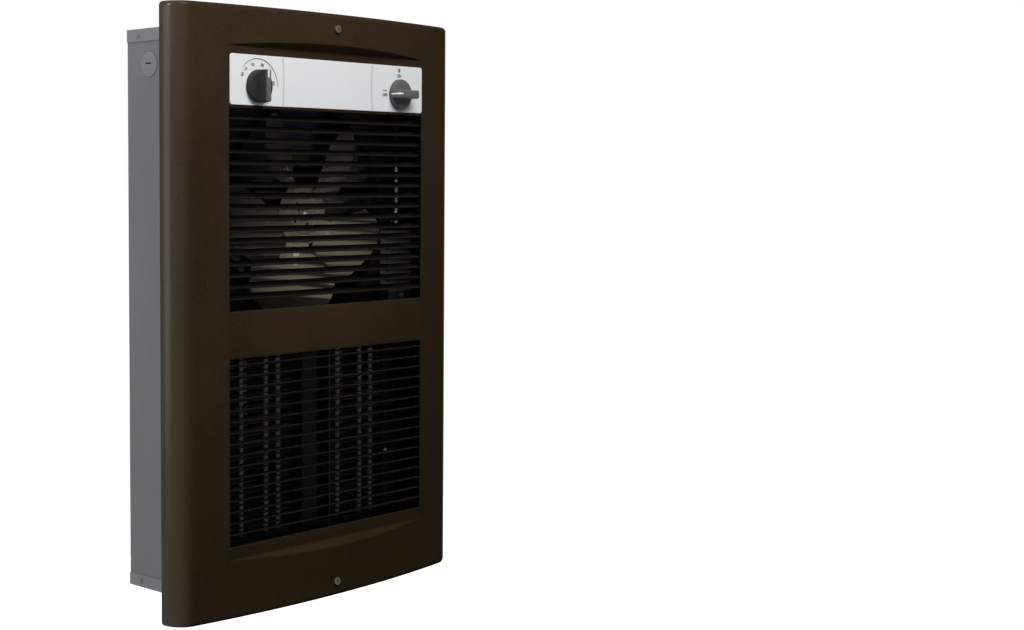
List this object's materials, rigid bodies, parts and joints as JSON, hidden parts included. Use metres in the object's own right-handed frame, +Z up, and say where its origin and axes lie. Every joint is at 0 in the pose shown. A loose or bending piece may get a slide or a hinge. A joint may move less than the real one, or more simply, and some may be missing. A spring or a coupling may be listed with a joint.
{
  "type": "wall heater",
  "caption": "Recessed wall heater: a steel can with a bowed bronze cover, louvred intake and outlet, a fan that spins, finned elements, and turning thermostat and selector knobs.",
  "frame": {"origin": "centre of the can's back face", "axes": "+X to the right as one faces the wall, +Y into the wall, +Z up"},
  "size_m": [0.438, 0.1485, 0.648],
  "materials": {
    "can_paint": "satin grey",
    "bronze_paint": "metallic dark bronze",
    "plate_paint": "satin light grey",
    "thermostat_plastic": "fine-grained black",
    "selector_plastic": "fine-grained black",
    "dark_frame": "dark, dull",
    "fan_metal": "rolled sheet",
    "fins": "dark, heat-stained",
    "sheath": "drawn tube, heat-stained",
    "galvanised": "galvanised",
    "fasteners": "plated",
    "ground_green": "green",
    "shaft_steel": "turned",
    "laminations": "stacked sheet, dull",
    "winding": "enamelled copper wire",
    "copper": "drawn copper tube",
    "clip_plastic": "white",
    "switch_plastic": "moulded, dull black",
    "bushing_ceramic": "unglazed"
  },
  "bodies": {
    "heater": {"air_baffle": "dark_frame", "bracket_screws": "fasteners", "bulb_clips": "clip_plastic", "can_bottom_cap": "can_paint", "can_top_cap": "can_paint", "can_wrapper": "can_paint", "cap_rivets": "fasteners", "control_bracket": "galvanised", "control_nuts": "fasteners", "control_plate": "plate_paint", "cover_screws": "fasteners", "deck_screws": "fasteners", "element_bushings": "bushing_ceramic", "element_frame": "dark_frame", "fan_deck": "dark_frame", "frame_screws": "fasteners", "front_cover": "bronze_paint", "ground_screw": "ground_green", "left_element_fins": "fins", "left_element_tube": "sheath", "limit_screw": "fasteners", "limit_switch": "galvanised", "lower_grille": "bronze_paint", "motor_bolts": "fasteners", "motor_bracket": "galvanised", "motor_bracket_screws": "fasteners", "motor_coil": "winding", "motor_front_bearing": "galvanised", "motor_rear_bearing": "galvanised", "motor_stator": "laminations", "right_element_fins": "fins", "right_element_tube": "sheath", "selector_switch": "switch_plastic", "terminal_block": "switch_plastic", "terminal_screws": "fasteners", "thermostat_body": "switch_plastic", "thermostat_bulb": "copper", "thermostat_capillary": "copper", "upper_grille": "bronze_paint", "wiring_cover": "galvanised", "wiring_cover_screws": "fasteners"},
    "thermostat_dial": {"thermostat_knob": "thermostat_plastic", "thermostat_shaft": "shaft_steel"},
    "selector_dial": {"selector_knob": "selector_plastic", "selector_shaft": "shaft_steel"},
    "fan_rotor": {"fan_hub": "fan_metal", "fan_blades": "fan_metal", "fan_rivets": "fasteners", "motor_shaft": "shaft_steel", "motor_rotor": "laminations"}
  },
  "joints": [
    {"name": "thermostat_turn", "type": "hinge", "parent": "heater", "child": "thermostat_dial", "pos_m": [-0.11201, -0.13254, 0.24], "axis": [0, 1, 0], "range_deg": [-80, 110]},
    {"name": "selector_turn", "type": "hinge", "parent": "heater", "child": "selector_dial", "pos_m": [0.11201, -0.13254, 0.24], "axis": [0, 1, 0], "range_deg": [0, 90]},
    {"name": "fan_spin", "type": "hinge", "parent": "heater", "child": "fan_rotor", "pos_m": [0, -0.086, 0.103], "axis": [0, 1, 0], "continuous": true}
  ]
}
